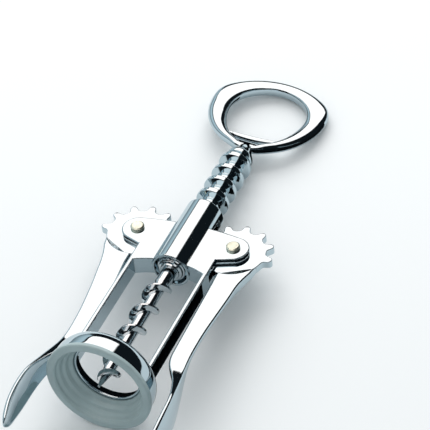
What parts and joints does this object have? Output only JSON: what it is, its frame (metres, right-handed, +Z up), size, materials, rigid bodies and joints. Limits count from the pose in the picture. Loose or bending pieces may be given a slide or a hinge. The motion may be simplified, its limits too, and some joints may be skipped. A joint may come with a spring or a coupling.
{
  "type": "wing corkscrew",
  "caption": "Lever corkscrew with a bell that seats on the bottle neck, a ring-toothed spindle raised by two toothed levers, and an opener head.",
  "frame": {"origin": "centre of the bell mouth, where the rim of a bottle neck seats", "axes": "X across the two levers, Y along the spindle from the bell mouth up to the opener head, Z towards the front face; the object lies on its back with Z up"},
  "size_m": [0.0654, 0.193, 0.038],
  "materials": {
    "chrome_plate": "polished chrome plate on zinc die casting",
    "liner_plastic": "satin translucent blue-grey plastic",
    "pin_metal": "polished, warm tint",
    "worm_steel": "polished plated steel"
  },
  "bodies": {
    "frame": {"frame_casting": "chrome_plate", "bell_liner": "liner_plastic", "pin_left": "pin_metal", "pin_right": "pin_metal"},
    "rack": {"rack_sleeve": "chrome_plate"},
    "spindle": {"opener_head": "chrome_plate", "worm": "worm_steel", "retaining_collar": "chrome_plate"},
    "lever_left": {"lever_left": "chrome_plate"},
    "lever_right": {"lever_right": "chrome_plate"}
  },
  "joints": [
    {"name": "handle_slide", "type": "slide", "parent": "frame", "child": "rack", "axis": [0, -1, 0], "range_m": [0, 0.032]},
    {"name": "handle_spin", "type": "hinge", "parent": "rack", "child": "spindle", "pos_m": [0, 0.09, 0], "axis": [0, 1, 0], "continuous": true},
    {"name": "lever_right_swing", "type": "hinge", "parent": "frame", "child": "lever_right", "pos_m": [0.0184, 0.0739, 0], "axis": [0, 0, 1], "range_deg": [0, 138]},
    {"name": "lever_left_swing", "type": "hinge", "parent": "frame", "child": "lever_left", "pos_m": [-0.0184, 0.0739, 0], "axis": [0, 0, -1], "range_deg": [0, 138]}
  ],
  "couplings": [
    {"joint": "lever_right_swing", "follows": "handle_slide", "rad_per_m": 74.8},
    {"joint": "lever_left_swing", "follows": "handle_slide", "rad_per_m": 74.8}
  ]
}
